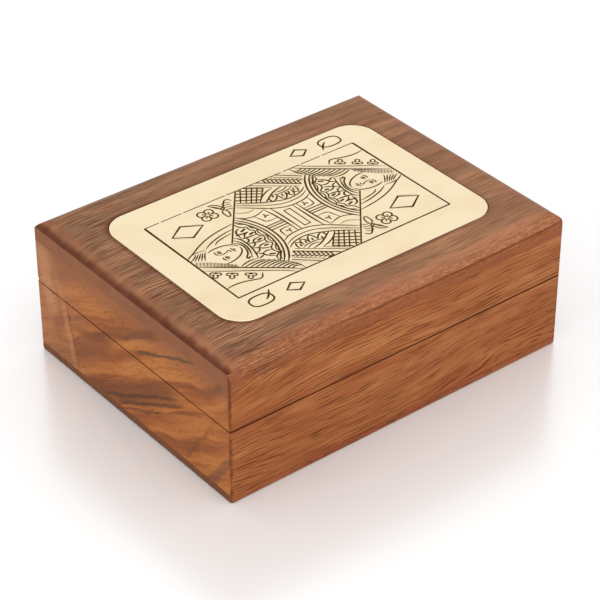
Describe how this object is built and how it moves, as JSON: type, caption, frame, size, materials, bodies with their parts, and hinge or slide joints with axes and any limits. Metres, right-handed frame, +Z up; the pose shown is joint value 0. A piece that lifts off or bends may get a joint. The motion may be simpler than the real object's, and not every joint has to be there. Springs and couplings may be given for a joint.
{
  "type": "playing card box",
  "caption": "Small hinged wooden box with mitred sides, rounded top edges, a felt lining and a metal plate engraved like a court card let into the lid.",
  "frame": {"origin": "middle of the underside, on the surface that the box stands on", "axes": "+X to the right along the long side, +Y from the front to the hinged back, +Z up, lid shut"},
  "size_m": [0.1142, 0.0883, 0.0432],
  "materials": {
    "sheesham": "waxed, low sheen",
    "polished_brass": "polished, engraved and darkened",
    "hinge_brass": "satin, slightly tarnished",
    "felt": "short wool felt"
  },
  "bodies": {
    "base": {"base_front_wall": "sheesham", "base_right_wall": "sheesham", "base_back_wall": "sheesham", "base_left_wall": "sheesham", "base_bottom_panel": "sheesham", "base_felt_lining": "felt", "left_hinge_base_leaf": "hinge_brass", "left_hinge_pin": "hinge_brass", "left_hinge_base_screws": "hinge_brass", "right_hinge_base_leaf": "hinge_brass", "right_hinge_pin": "hinge_brass", "right_hinge_base_screws": "hinge_brass"},
    "lid": {"lid_front_wall": "sheesham", "lid_right_wall": "sheesham", "lid_back_wall": "sheesham", "lid_left_wall": "sheesham", "lid_top_panel": "sheesham", "lid_felt_lining": "felt", "card_plate": "polished_brass", "left_hinge_lid_leaf": "hinge_brass", "left_hinge_lid_screws": "hinge_brass", "right_hinge_lid_leaf": "hinge_brass", "right_hinge_lid_screws": "hinge_brass"}
  },
  "joints": [
    {"name": "lid_hinge", "type": "hinge", "parent": "base", "child": "lid", "pos_m": [0, 0.04315, 0.02318], "axis": [-1, 0, 0], "range_deg": [0, 95]}
  ]
}
